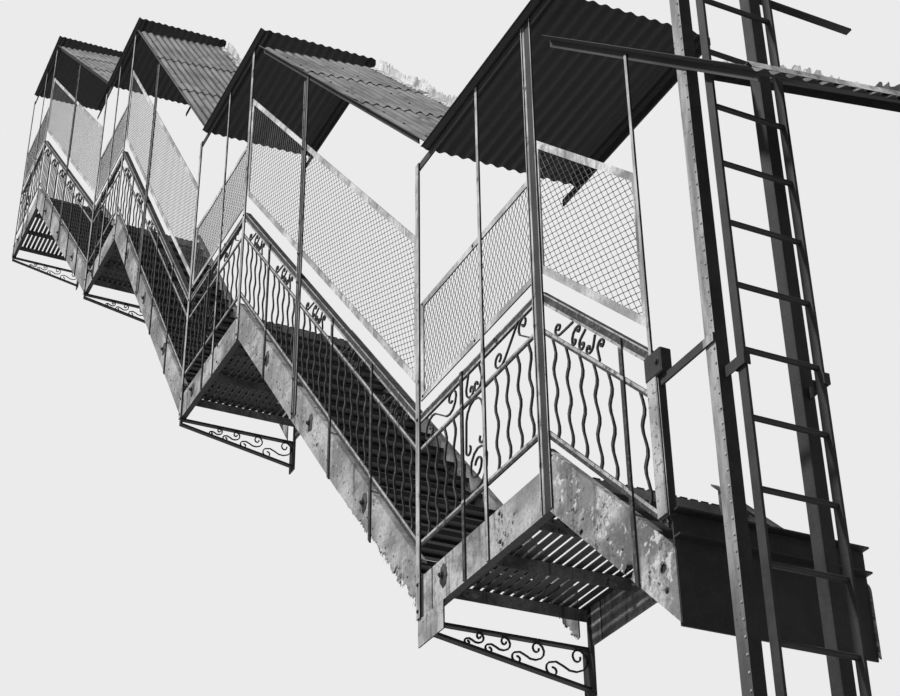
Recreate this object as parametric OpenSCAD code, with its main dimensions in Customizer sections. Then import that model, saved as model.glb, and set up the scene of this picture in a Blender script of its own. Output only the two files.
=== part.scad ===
// Wall-hung iron fire escape: straight flights that climb along a facade from landing to landing,
// under one corrugated roof, with a short flight and a drop ladder at the foot.
// Lengths are in millimetres. X runs along the facade, Y into the wall and Z up.
// The stair climbs towards -X. The origin lies on the wall, behind the lowest scroll bracket.

/* [Layout] */
// Depth of the stair, from the wall's face to the outer face of the posts
stair_depth = 1015; // [950:5:1150]
// Height of the lowest landing's deck above the origin
first_deck = 350; // [330:5:450]
// Length of each landing, from the lowest up
landing_len = [1382, 1382, 1190, 1380]; // [1100:1:1600]
// Horizontal run of each flight, from the lowest up
flight_run = [950, 3290, 3098, 3850]; // [900:1:4200]
// Rise of each flight, from the lowest up
flight_rise = [885, 3542, 3790, 3759]; // [850:1:4200]
// Number of steps in each flight, from the lowest up
flight_steps = [5, 18, 18, 18]; // [4:1:20]

/* [Landings] */
// Height of the fascia plate round a landing
fascia_h = 228; // [200:1:260]
// Thickness of the fascia plate
fascia_t = 8; // [6:1:12]
// Height of a cross bearer under the deck
bearer_h = 70; // [50:1:100]
// Thickness of a cross bearer
bearer_t = 12; // [8:1:20]
// Number of cross bearers under a deck
bearer_count = 4; // [3:1:6]
// Width of a deck slat
slat_w = 40; // [30:1:50]
// Thickness of a deck slat
slat_t = 8; // [5:1:12]
// Gap between two deck slats, at least
slat_gap = 18; // [12:1:24]

/* [Flights] */
// Height of a stringer's top edge over the line of the nosings, measured upright
stringer_above = 103; // [80:1:130]
// Depth of a stringer's bottom edge under the line of the nosings, measured upright
stringer_below = 219; // [212:1:250]
// Thickness of a stringer plate
stringer_t = 8; // [6:1:12]
// Width of the flange along a stringer's top edge
stringer_flange = 45; // [30:1:60]
// Length of the short flight's stringers past its foot
tip_reach = 30; // [20:1:40]
// Radius of the tip of the short flight's stringers
tip_r = 70; // [40:1:90]
// Gap between the wall and the inner stringer
wall_gap = 52; // [40:1:80]
// Thickness of a tread plate
tread_t = 6; // [4:1:6]
// Height of the lips under a tread
tread_lip = 32; // [24:1:40]
// Overhang of a tread in front of its riser line
nosing = 12; // [5:1:20]

/* [Railing] */
// Top of the bottom rail above the walking line
bottom_rail_top = 208; // [190:1:230]
// Top of the rail under the scroll frieze
frieze_rail_top = 762; // [720:1:800]
// Top of the handrail
handrail_top = 960; // [940:1:1000]
// Depth of the bottom rail
bottom_rail_d = 32; // [25:1:40]
// Depth of the rail under the frieze
frieze_rail_d = 25; // [20:1:32]
// Depth of the handrail
handrail_d = 42; // [35:1:50]
// Width of the handrail's flat top
handrail_w = 48; // [40:1:60]
// Thickness of the handrail's flat top
handrail_t = 8; // [6:1:12]
// Thickness of the rails and balusters
rail_t = 10; // [8:1:14]
// Width of a straight upright bar
bar_w = 26; // [20:1:32]
// Thickness of a straight upright bar
bar_t = 10; // [8:1:14]
// Width of a serpentine baluster
baluster_w = 14; // [10:1:18]
// Spacing of the balusters, at most
baluster_pitch = 128; // [110:1:150]
// Sideways swing of a serpentine baluster
wave_swing = 14; // [8:1:20]
// Length of one wave of a serpentine baluster
wave_len = 200; // [160:1:260]
// Length of railing between two straight bars, about
panel_len = 642; // [560:1:760]
// Width of the strip that the scrolls are bent from
scroll_strip = 9; // [6:1:10]
// Space between the scrolls of a flight's frieze, as a share of their height
frieze_space = 0.3; // [0.1:0.05:0.4]
// Share of the ornamental panel's height that the arch takes
arch_share = 0.56; // [0.5:0.01:0.6]
// Distance of the short flight's straight bar from its foot
short_bar = 247; // [200:1:300]
// Place and width of the ornamental panel on a landing, from its right end
ornament_panel = [595, 252]; // [240:1:620]

/* [Posts] */
// Width of a thin post
post_w = 45; // [40:1:55]
// Width of a channel post in the middle of a flight
mid_post_w = 80; // [70:1:90]
// Width of the channel post at the head of the short flight
head_post_w = 100; // [90:1:120]
// Depth of a channel post
channel_d = 40; // [30:1:50]
// Thickness of a channel post's walls
channel_t = 7; // [5:1:9]

/* [Guard mesh frames] */
// Bottom and top of the frame on a landing, above the deck
landing_mesh = [1050, 1690]; // [1000:1:1800]
// Bottom and top of the frame on a long flight, above the walking line
flight_mesh = [1150, 2155]; // [1000:1:2300]
// Bottom and top of the frame on the short flight
short_mesh = [1085, 1910]; // [1000:1:2000]
// Width of a frame bar
mesh_bar = 38; // [30:1:45]
// Thickness of a frame bar
mesh_t = 8; // [6:1:12]

/* [Roof] */
// Height of each landing's roof above its deck, from the lowest up
roof_h = [2700, 2665, 2685, 2715]; // [2600:1:2900]
// Distance by which a sloping roof starts inside the landing below it
roof_lap = 190; // [150:1:240]
// Distance by which a landing's roof reaches out over the roof below it
roof_over = 280; // [200:10:320]
// Step from a landing's roof down to the roof that it reaches over
roof_step = 176; // [150:1:220]
// Rise of a landing's roof from the eave to the wall
level_fall = 50; // [0:5:80]
// Rise of a flight's roof from the eave to the wall
slope_fall = 150; // [80:5:180]
// Step from the lowest landing's roof down to the short flight's roof, at the landing's end
short_roof_step = 100; // [60:1:140]
// Fall of the short flight's roof for each metre along the wall
short_roof_fall = 909; // [850:1:950]
// Length of the short flight's roof along the wall
short_roof_run = 1860; // [1700:10:2000]
// Overhang of the sheets past the posts
eave_overhang = 45; // [30:1:60]
// Spacing of the corrugations
corrugation_pitch = 78; // [70:1:90]
// Depth of the corrugations
corrugation_depth = 18; // [14:1:22]
// Thickness of the roof sheet
sheet_t = 3; // [2:0.5:4]
// Depth of the eave rail and the wall rail
eave_d = 50; // [40:1:60]
// Thickness of the eave rail and the wall rail
eave_t = 10; // [8:1:14]

/* [Scroll brackets] */
// Depth of the bracket at the wall
bracket_drop = 240; // [220:1:280]
// Depth of the bracket at its outer end
bracket_nose = 60; // [50:1:80]
// Number of scrolls in the bracket
bracket_scrolls = 4; // [3:1:5]
// Width and height of the plate that hangs from the lowest bracket's outer end
apron = [300, 150]; // [100:1:320]
// Thickness of the bracket's bars
bracket_bar = 16; // [12:1:20]
// Width of the bracket's bars
bracket_w = 40; // [30:1:50]
// Width and height of the wall plate
wall_plate = [110, 280]; // [100:1:300]
// Thickness of the wall plate
wall_plate_t = 12; // [10:1:16]
// Spacing of the wall plate's bolt holes, along the wall and upright
bolt_spacing = [74, 220]; // [70:1:240]
// Diameter of a bolt hole
bolt_hole_d = 18; // [14:1:20]

/* [Drop ladder] */
// Distance of the ladder from the foot of the short flight
ladder_reach = 520; // [460:5:600]
// Width of the ladder
ladder_w = 385; // [360:1:420]
// Spacing of the rungs
rung_pitch = 305; // [280:1:320]
// Diameter of a rung
rung_d = 25; // [20:1:28]
// Number of rungs
rung_count = 14; // [10:1:16]
// Width and thickness of a ladder rail
ladder_rail = [50, 12]; // [10:1:60]
// Gap between the ladder and the keepers round its rails
ladder_clear = 6; // [6:1:9]
// Width and depth of a guide post
guide_post = [70, 60]; // [50:1:80]
// Height of the ladder's foot over the origin when it is stowed
ladder_foot = -1490; // [-1600:10:-1400]

/* [Hidden] */
// Clearance between pieces that rest against each other
fit = 0.3;
// Distance by which one roof sheet reaches over or under the next
sheet_lap = 40;
// The layers of the outer side, from outside in
y_outer = -stair_depth;
y_web = y_outer + bar_t;
y_inner = y_web + rail_t;
y_wall_stringer = -wall_gap - stringer_t;
paint = "Gainsboro";
iron = [0.16, 0.16, 0.17];
sheet = [0.45, 0.46, 0.47];

// Places and levels of the landings and flights; landing k rests between flight k - 1 and flight k.
function sum_to(list, k, i = 1) = i > k ? 0 : list[i] + sum_to(list, k, i + 1);
function left_end(k) = -sum_to(flight_run, k - 1) - sum_to([0, each landing_len], k) + landing_len[0];
function right_end(k) = left_end(k) + landing_len[k - 1];
function deck(k) = first_deck + sum_to(flight_rise, k - 1);
function foot_x(j) = j == 0 ? right_end(1) + flight_run[0] : left_end(j);
function foot_z(j) = j == 0 ? deck(1) - flight_rise[0] : deck(j);
function slope(j) = flight_rise[j] / flight_run[j];
function roof_z(k) = deck(k) + roof_h[k - 1];
function roof_foot(k) = left_end(k) + roof_lap;
function roof_head(k) = right_end(k + 1) + roof_over - sheet_lap;
function roof_slope(k) =
    k == 0 ? short_roof_fall / 1000 : (roof_z(k + 1) - roof_step - roof_z(k)) / (roof_foot(k) - roof_head(k));
// Upright depth of a bar that is d deep square to a slope s
function upright_depth(d, s) = d * sqrt(1 + s * s);
function panels(length) = max(1, round(length / panel_len));

// Draws an upright outline in X and Z as a plate whose outer face is at y and which is t thick.
module plate(y, t) {
    translate([0, y + t, 0])
        rotate([90, 0, 0])
            linear_extrude(t) children();
}

// Draws an outline in Y and Z as a plate that is t thick, centred on x.
module cross_plate(x, t) {
    translate([x - t / 2, 0, 0])
        rotate([90, 0, 90])
            linear_extrude(t) children();
}

// A strip along a flight or landing, from x0 leftwards to x1, between two heights over the walking line.
module strip(x0, x1, low, high, s) {
    polygon([
        [x0, low - s * x0], [x1, low - s * x1],
        [x1, high - s * x1], [x0, high - s * x0]
    ]);
}

// Scrollwork: a strip bent into a chain of arcs. Each arc is [radius, turn], it turns left when the turn is
// positive, and it carries on where the last one ends. Radii are shares of a scroll's height, about.
function arc_end(p, arc) =
    let (s = sign(arc[1]) * arc[0], h = p[2] + arc[1])
    [p.x + s * (sin(h) - sin(p[2])), p.y - s * (cos(h) - cos(p[2])), h];
function joints(arcs, heading) = [
    for (i = 0, p = [0, 0, heading]; i <= len(arcs); p = i < len(arcs) ? arc_end(p, arcs[i]) : p, i = i + 1) p
];
// Points along the chain, each with its heading, one for about every 30 degrees of turn
function turns(arc) = max(1, round(abs(arc[1]) / 30));
function middle_line(shape) = let (arcs = shape[0], j = joints(arcs, shape[1])) [
    j[0],
    for (i = [0:len(arcs) - 1]) for (k = [1:turns(arcs[i])])
        arc_end(j[i], [arcs[i][0], arcs[i][1] * k / turns(arcs[i])])
];
function lowest(points, k) = min([for (p = points) p[k]]);
function highest(points, k) = max([for (p = points) p[k]]);
function extent(points, k) = highest(points, k) - lowest(points, k);
// Width over height of a scroll's middle line
function aspect(shape) = let (points = middle_line(shape)) extent(points, 0) / extent(points, 1);
// Overall width of a scroll that stands h high
function scroll_width(shape, h) = aspect(shape) * (h - scroll_strip) + scroll_strip;

// The outline of a scroll, centred and h high, or its mirror image.
module scroll(shape, h, flip = false) {
    points = middle_line(shape);
    f = (h - scroll_strip) / extent(points, 1);
    mid = [for (k = [0, 1]) (lowest(points, k) + highest(points, k)) / 2];
    function edge(p, side) = [
        (flip ? -1 : 1) * (f * (p.x - mid.x) - side * sin(p[2]) * scroll_strip / 2),
        f * (p.y - mid.y) + side * cos(p[2]) * scroll_strip / 2
    ];
    polygon([
        for (p = points) edge(p, 1),
        for (i = [len(points) - 1:-1:0]) edge(points[i], -1)
    ]);
}

// The scrolls, each as [arcs, heading at the start]
s_scroll = [[[0.1, -160], [0.16, -150], [0.3, -110], [1.1, -15], [1.1, 15], [0.3, 110], [0.16, 150], [0.1, 160]], 395];
c_scroll = [[[0.09, 160], [0.15, 150], [0.5, 120], [0.15, 150], [0.09, 160]], -280];
stroke_scroll = [[[6, 8], [0.3, -80], [0.17, -150], [0.1, -170]], 218];
lyre_scroll = [[[1.6, -22], [0.36, -100], [0.2, -130], [0.11, -170]], -60];
tail_scroll = [[[1, -40], [0.3, -110], [0.17, -140], [0.1, -160]], 165];
vine_scroll = [[[0.12, -180], [0.2, -160], [0.4, -70], [0.55, 75], [0.33, 120], [0.2, 150], [0.12, 170]], 370];
arch_scroll = [[[0.09, -230], [7, -5], [0.33, -170], [7, -5], [0.09, -230]], 320];
spiral_scroll = [[[2, 8], [0.46, 190], [0.33, 170], [0.22, 180], [0.13, 170]], -98];

// A serpentine baluster at x, between two heights over the walking line.
module baluster(x, low, high, s) {
    waves = (high - low) / wave_len;
    n = ceil(6 * waves);
    polygon([
        for (i = [0:n]) baluster_edge(x, i / n, -1, waves, low, high, s),
        for (i = [n:-1:0]) baluster_edge(x, i / n, 1, waves, low, high, s)
    ]);
}
function baluster_edge(x, t, side, waves, low, high, s) =
    let (px = x + wave_swing * sin(360 * t * waves) + side * baluster_w / 2)
    [px, low + (high - low) * t - s * px];

// The frieze of one panel: a group of scrolls between the frieze rail and the handrail.
// Each entry is [scroll, mirrored or not].
long_group = [
    [stroke_scroll, false], [c_scroll, true], [lyre_scroll, true], [lyre_scroll, false], [tail_scroll, false]
];
right_group = [[stroke_scroll, false], [tail_scroll, false]];
left_group = [[s_scroll, false]];
short_group = [[lyre_scroll, true], [lyre_scroll, false]];
function group_width(group, h, space, n) =
    n == 0 ? 0 : group_width(group, h, space, n - 1) + scroll_width(group[n - 1][0], h) + space;
module frieze(x0, x1, low, high, s, group) {
    a = -atan(s);
    h = (high - low) * cos(a) - 2 * fit;
    length = abs(x1 - x0) / cos(a) - bar_w;
    chosen = group_width(group, h, scroll_strip, len(group)) < length ? group : short_group;
    bare = group_width(chosen, h, 0, len(chosen));
    space = len(chosen) > 2 ? frieze_space * h : scroll_strip / 2;
    total = bare + space * (len(chosen) - 1);
    if (total < length)
        for (i = [0:len(chosen) - 1]) {
            along = group_width(chosen, h, space, i) + scroll_width(chosen[i][0], h) / 2 - total / 2;
            plate(y_web, rail_t)
                translate([(x0 + x1) / 2, (low + high) / 2 - s * (x0 + x1) / 2])
                    rotate(a) translate([along, 0]) scroll(chosen[i][0], h, chosen[i][1]);
        }
}

// The ornamental panel of a landing: an arch with curled feet over a wide spiral.
module ornament(x, low, high) {
    h = high - low - 3 * fit;
    plate(y_web, rail_t)
        translate([x, high - fit - arch_share * h / 2]) scroll(arch_scroll, arch_share * h);
    plate(y_web, rail_t)
        translate([x, low + fit + (1 - arch_share) * h / 2]) scroll(spiral_scroll, (1 - arch_share) * h);
}

// Railing along a flight or landing, in its own outline frame: 0 at the lower end, -length at the upper end.
module railing(length, s, stops, groups) {
    up = upright_depth(1, s);
    frieze_bottom = frieze_rail_top - frieze_rail_d * up;
    hand_bottom = handrail_top - handrail_d * up;
    plate(y_web, rail_t)
        strip(0, -length, bottom_rail_top - bottom_rail_d * up, bottom_rail_top, s);
    plate(y_web, rail_t) strip(0, -length, frieze_bottom, frieze_rail_top, s);
    plate(y_web, rail_t) strip(0, -length, hand_bottom, handrail_top, s);
    plate(y_web, handrail_w)
        strip(0, -length, handrail_top, handrail_top + handrail_t * up, s);
    for (i = [0:len(stops) - 2]) {
        width = abs(stops[i + 1] - stops[i]);
        count = max(1, ceil(width / baluster_pitch) - 1);
        if (groups[i] == short_group)
            ornament((stops[i] + stops[i + 1]) / 2, bottom_rail_top, frieze_bottom);
        else
            for (b = [1:count])
                plate(y_web, rail_t)
                    baluster(stops[i] - b * width / (count + 1), bottom_rail_top + fit * up, frieze_bottom - fit * up, s);
        if (len(groups[i]) > 0) frieze(stops[i], stops[i + 1], frieze_rail_top, hand_bottom, s, groups[i]);
    }
}

function even_stops(length) = let (n = panels(length)) [for (i = [0:n]) -length * i / n];
function landing_stops(length) =
    [0, -ornament_panel[0], -ornament_panel[0] - ornament_panel[1], -length];

module straight_bars(stops, low, high, s) {
    for (x = stops)
        plate(y_outer, bar_t) strip(x + bar_w / 2, x - bar_w / 2, low, high, s);
}

module landing_railing(k) {
    stops = landing_stops(landing_len[k - 1]);
    color(iron)
        translate([right_end(k), 0, deck(k)]) {
            railing(landing_len[k - 1], 0, stops, [right_group, short_group, left_group]);
            straight_bars([stops[2]], -fascia_h, handrail_top, 0);
        }
}

module flight_railing(j) {
    stops = j == 0 ? [0, -short_bar, -flight_run[0]] : even_stops(flight_run[j]);
    inner = [for (i = [1:1:len(stops) - 2]) if (j == 0 || i != mid_panel(j)) stops[i]];
    color(iron)
        translate([foot_x(j), 0, foot_z(j)]) {
            railing(flight_run[j], slope(j), stops, [for (i = stops) j == 0 && i == 0 ? [] : long_group]);
            straight_bars(inner, -stringer_below, handrail_top, slope(j));
        }
}
function mid_panel(j) = round(panels(flight_run[j]) * 0.55);

// The steel frame of a landing: fascia round three sides, ledger on the wall, bearers across.
module landing_frame(k) {
    length = landing_len[k - 1];
    bearer_pitch = (length - fascia_t) / (bearer_count - 1);
    color(paint)
        translate([left_end(k), 0, deck(k)]) {
            translate([0, y_web, -fascia_h]) cube([length, fascia_t, fascia_h]);
            translate([0, -fascia_t, -fascia_h]) cube([length, fascia_t, fascia_h - slat_t]);
            translate([0, y_web, -fascia_h]) cube([length, stringer_flange, fascia_t]);
            for (i = [0:bearer_count - 1])
                translate([i * bearer_pitch, y_web + fascia_t / 2, -slat_t - bearer_h])
                    cube([i == 0 || i == bearer_count - 1 ? fascia_t : bearer_t, -y_web - fascia_t, bearer_h]);
        }
}

module landing_deck(k) {
    length = landing_len[k - 1];
    room = -y_web - fascia_t - 2 * fit;
    count = floor((room + slat_gap) / (slat_w + slat_gap));
    pitch = (room - slat_w) / (count - 1);
    color(iron)
        for (i = [0:count - 1])
            translate([left_end(k) + fit, y_web + fascia_t + fit + i * pitch, deck(k) - slat_t])
                cube([length - 2 * fit, slat_w, slat_t]);
}

module mesh_frame(length, span, s, stiles) {
    up = upright_depth(mesh_bar, s);
    color(paint) {
        plate(y_web, mesh_t) strip(-post_w / 2 - fit, -length + post_w / 2 + fit, span[0], span[0] + up, s);
        plate(y_web, mesh_t) strip(-post_w / 2 - fit, -length + post_w / 2 + fit, span[1] - up, span[1], s);
        for (x = stiles)
            plate(y_web, mesh_t) strip(x, x - mesh_bar, span[0] + up / 2, span[1] - up / 2, s);
    }
}
function end_stiles(length) = [-post_w / 2 - fit, -length + post_w / 2 + fit + mesh_bar];

module landing_mesh_frame(k) {
    length = landing_len[k - 1];
    translate([right_end(k), 0, deck(k)])
        mesh_frame(length, landing_mesh, 0, end_stiles(length));
}

module flight_mesh_frame(j) {
    length = flight_run[j];
    mid = -length * mid_panel(j) / panels(length);
    stiles = j == 0 ? end_stiles(length) : concat(end_stiles(length), [mid + mesh_bar / 2]);
    translate([foot_x(j), 0, foot_z(j)])
        mesh_frame(length, j == 0 ? short_mesh : flight_mesh, slope(j), stiles);
}

// One stringer: a plate with a flange along its top edge. The short flight's ends in a rounded tip.
module stringer(j, y, flange_y) {
    s = slope(j);
    up = upright_depth(stringer_t, s);
    end = j == 0 ? tip_reach : 0;
    r = j == 0 ? tip_r : 1;
    plate(y, stringer_t)
        polygon([
            [end, -stringer_below - s * end],
            for (i = [0:6]) let (t = i * (90 - atan(s)) / 6)
                [end - r + r * cos(t), stringer_above - s * (end - r) - upright_depth(r, s) + r * sin(t)],
            [-flight_run[j], stringer_above + s * flight_run[j]],
            [-flight_run[j], -stringer_below + s * flight_run[j]]
        ]);
    plate(flange_y, stringer_flange)
        strip(end - 2 * r, -flight_run[j], stringer_above - up, stringer_above, s);
}

module flight_stringers(j) {
    color(paint)
        translate([foot_x(j), 0, foot_z(j)]) {
            stringer(j, y_web, y_web);
            stringer(j, y_wall_stringer, y_wall_stringer + stringer_t - stringer_flange);
        }
}

module flight_treads(j) {
    going = flight_run[j] / flight_steps[j];
    step = flight_rise[j] / flight_steps[j];
    y0 = y_web + stringer_t + fit;
    width = y_wall_stringer - fit - y0;
    color(iron)
        translate([foot_x(j), 0, foot_z(j)])
            for (i = [j == 0 ? 0 : 1:flight_steps[j] - 1])
                translate([-i * going, 0, i * step])
                    plate(y0, width)
                        polygon([
                            [nosing, 0], [nosing, -tread_lip], [nosing - tread_t, -tread_lip],
                            [nosing - tread_t, -tread_t], [-going * 0.55, -tread_t],
                            [-going * 0.55, -tread_lip * 0.8], [-going * 0.55 - tread_t, -tread_lip * 0.8],
                            [-going * 0.55 - tread_t, -tread_t], [fit - going, -tread_t], [fit - going, 0]
                        ]);
}

// The plate that closes the foot of the short flight, with a beam along its top.
module end_plate() {
    x = foot_x(0) + nosing + fit;
    y0 = y_web + stringer_t + fit;
    width = y_wall_stringer - fit - y0;
    color(iron)
        translate([x, y0, foot_z(0)]) {
            translate([0, 0, -255]) cube([8, width, 490]);
            translate([0, 0, 115]) cube([50, width, 8]);
            translate([0, 0, 227]) cube([50, width, 8]);
        }
}

// The wavy cross-section of a roof sheet, from the wall out to the eave.
function wave(y) = corrugation_depth / 2 * (1 - cos(360 * y / corrugation_pitch));
module sheet_outline(y0, y1, fall) {
    n = round(6 * (y1 - y0) / corrugation_pitch);
    function level(i) = wave(y0 + (y1 - y0) * i / n) + fall * i / n;
    polygon([
        for (i = [0:n]) [y0 + (y1 - y0) * i / n, level(i)],
        for (i = [n:-1:0]) [y0 + (y1 - y0) * i / n, level(i) + sheet_t]
    ]);
}
// Height of a sheet's underside at y, over its lowest line at the eave
function underside(y, s, fall) = wave(y) * sqrt(1 + s * s) + fall * (1 - y / y_eave);
// A sheet whose lower edge is at x, z; it runs leftwards for a length, rises at an angle and falls to the eave.
module roof_sheet(x, z, length, angle, fall) {
    color(sheet)
        translate([x, 0, z])
            rotate([0, angle, 0])
                translate([-length, 0, 0])
                    rotate([90, 0, 90])
                        linear_extrude(length) sheet_outline(y_eave, 0, fall * cos(angle));
}
// The eave rail and the wall rail, on which a sheet lies.
module roof_rails(x, z, length, s, fall) {
    eave_top = underside(y_web, s, fall) - fit;
    wall_top = underside(0, s, fall) - fit;
    color(iron)
        translate([x, 0, z]) {
            plate(y_web, eave_t) strip(0, -length, eave_top - eave_d, eave_top, s);
            plate(-eave_t, eave_t) strip(0, -length, wall_top - eave_d, wall_top, s);
        }
}
y_eave = y_outer - eave_overhang;
// Lift of a sloping sheet that laps over the level sheet below it
function roof_lift(k) = k == 0 ? 0 : sheet_t + 2 * fit + corrugation_depth * (1 - cos(atan(roof_slope(k))));
// Height of a sloping roof's lowest line at x, where the posts end
function eave_z(k, x) =
    (k == 0 ? roof_z(1) - short_roof_step + (right_end(1) - x) * roof_slope(0)
            : roof_z(k) + (roof_foot(k) - x) * roof_slope(k)) + roof_lift(k);

module roof(k) {
    s = k <= 3 ? roof_slope(k) : 0;
    a = atan(s);
    if (k >= 1) {
        length = landing_len[k - 1] + roof_over;
        roof_sheet(right_end(k) + roof_over, roof_z(k), length - roof_lap + sheet_lap, 0, level_fall);
        roof_rails(right_end(k) + roof_over, roof_z(k), length, 0, level_fall);
    }
    if (k >= 1 && k <= 3) {
        run = roof_foot(k) - roof_head(k);
        roof_sheet(roof_foot(k), eave_z(k, roof_foot(k)), run / cos(a), a, slope_fall);
        roof_rails(left_end(k), eave_z(k, left_end(k)), run - roof_lap, s, slope_fall);
    }
    if (k == 0) {
        run = short_roof_run - roof_over + sheet_lap;
        x0 = right_end(1) + short_roof_run;
        z0 = eave_z(0, x0);
        difference() {
            roof_sheet(x0, z0, run / cos(a), a, slope_fall);
            translate([ladder_x - 180, y_ladder - 40, z0 - 500])
                cube([260, ladder_w + 200, 3000]);
        }
        roof_rails(x0, z0, run, s, slope_fall);
    }
}

// Posts from the fascia or stringer up to the eave rail.
module flat_post(x, z0, z1, w) {
    translate([x - w / 2, y_outer, z0]) cube([w, bar_t, z1 - z0]);
}
// A channel post, open to the outside.
module channel_post(x, z0, z1, w) {
    translate([x, y_outer, z0])
        linear_extrude(z1 - z0)
            difference() {
                translate([-w / 2, 0]) square([w, bar_t]);
                translate([-w / 2 + channel_t, -1]) square([w - 2 * channel_t, bar_t + 1 - 3]);
            }
}
module posts() {
    color(iron) {
        for (k = [1:4]) {
            flat_post(left_end(k), deck(k) - fascia_h, roof_z(k) - fit, post_w);
            if (k > 1) flat_post(right_end(k), deck(k) - fascia_h, roof_z(k) - fit, post_w);
            flat_post(right_end(k) - ornament_panel[0], deck(k) - fascia_h, roof_z(k) - fit, bar_w);
        }
        channel_post(right_end(1), deck(1) - fascia_h, roof_z(1) - fit, head_post_w);
        for (j = [1:3]) {
            u = flight_run[j] * mid_panel(j) / panels(flight_run[j]);
            channel_post(left_end(j) - u, foot_z(j) + u * slope(j) - stringer_below + 60,
                eave_z(j, left_end(j) - u + mid_post_w / 2), mid_post_w);
        }
        flat_post(foot_x(0), foot_z(0) + bottom_rail_top, foot_z(0) + handrail_top, 60);
        flat_post(foot_x(0) - 15, foot_z(0) + handrail_top, eave_z(0, foot_x(0)), 20);
    }
}

// A scroll bracket: wall plate, arm, lower bar and scrolls that get smaller outwards.
// The scrolls bite into the arm and the lower bar, to which they are welded.
bite = 2;
bracket_taper = (bracket_drop - bracket_nose) / (-y_web - wall_plate_t);
function clear_at(y) = bracket_drop - 2 * bracket_bar + (y + wall_plate_t) * bracket_taper;
function vine_h(y) = (clear_at(y) + 2 * bite) / (1 + 0.8 * aspect(vine_scroll) * bracket_taper);
function vine_y(i) = i == 0 ? -wall_plate_t - bite : vine_y(i - 1) - scroll_width(vine_scroll, vine_h(vine_y(i - 1)));
module bracket(k) {
    x = left_end(k);
    z = deck(k) - fascia_h;
    arm_end = y_web;
    color(iron)
        translate([x, 0, z]) {
            difference() {
                translate([-wall_plate[0] / 2, -wall_plate_t, -wall_plate[1] - fit])
                    cube([wall_plate[0], wall_plate_t, wall_plate[1]]);
                for (sx = [-1, 1], sz = [-1, 1])
                    translate([sx * bolt_spacing[0] / 2, 1, -fit - wall_plate[1] / 2 + sz * bolt_spacing[1] / 2])
                        rotate([90, 0, 0]) cylinder(h = wall_plate_t + 2, d = bolt_hole_d);
            }
            cross_plate(0, bracket_w) {
                polygon([
                    [arm_end, -fit], [-wall_plate_t, -fit], [-wall_plate_t, -bracket_bar], [arm_end, -bracket_bar]
                ]);
                polygon([
                    [arm_end, -bracket_nose + bracket_bar], [-wall_plate_t, -bracket_drop + bracket_bar],
                    [-wall_plate_t, -bracket_drop], [arm_end, -bracket_nose]
                ]);
                polygon([
                    [arm_end, -bracket_bar], [arm_end + bracket_bar, -bracket_bar],
                    [arm_end + bracket_bar, -bracket_nose], [arm_end, -bracket_nose]
                ]);
            }
            for (i = [0:bracket_scrolls - 1]) {
                h = vine_h(vine_y(i));
                cross_plate(0, rail_t)
                    translate([vine_y(i) - scroll_width(vine_scroll, h) / 2, bite - bracket_bar - h / 2])
                        scroll(vine_scroll, h);
            }
            if (k == 1)
                plate(y_web, fascia_t)
                    translate([-bracket_w / 2, -apron[1] - fit]) square(apron);
        }
}

// The drop ladder, stowed, and the guides that it slides in.
ladder_x = foot_x(0) + ladder_reach;
y_ladder = y_inner + 40;
ladder_len = rung_pitch * rung_count;
ladder_top = ladder_foot + ladder_len;
module drop_ladder() {
    color(iron)
        translate([ladder_x, y_ladder, ladder_foot]) {
            for (y = [0, ladder_w - ladder_rail[1]])
                translate([-ladder_rail[0] / 2, y, 0])
                    cube([ladder_rail[0], ladder_rail[1], ladder_len]);
            for (i = [0:rung_count - 1])
                translate([0, ladder_rail[1] / 2, (i + 0.5) * rung_pitch])
                    rotate([-90, 0, 0]) cylinder(h = ladder_w - ladder_rail[1], d = rung_d);
        }
}
keeper_t = 6;
keeper_h = 50;
keeper_back = ladder_rail[0] / 2 + ladder_clear + keeper_t + 60;
guide_low = ladder_foot - 70;
guide_high = ladder_top + 90;
y_guide_out = y_inner + fit;
y_guide_in = y_ladder + ladder_w - 25;
// A bent strap round one ladder rail, with a tail that reaches back to its guide post.
module keeper() {
    in_x = ladder_rail[0] / 2 + ladder_clear;
    out_x = in_x + keeper_t;
    lip = ladder_rail[1] + ladder_clear;
    linear_extrude(keeper_h)
        polygon([
            [fit - keeper_back, -ladder_clear - keeper_t], [out_x, -ladder_clear - keeper_t], [out_x, lip],
            [in_x, lip], [in_x, -ladder_clear], [-in_x, -ladder_clear],
            [-in_x, lip], [-out_x, lip],
            [-out_x, -ladder_clear], [fit - keeper_back, -ladder_clear]
        ]);
}
module ladder_keepers() {
    color(iron)
        for (z = [guide_low + 150, 100, guide_high - 200]) {
            translate([ladder_x, y_ladder, z]) keeper();
            translate([ladder_x, y_ladder + ladder_w, z]) mirror([0, 1, 0]) keeper();
        }
}
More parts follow.
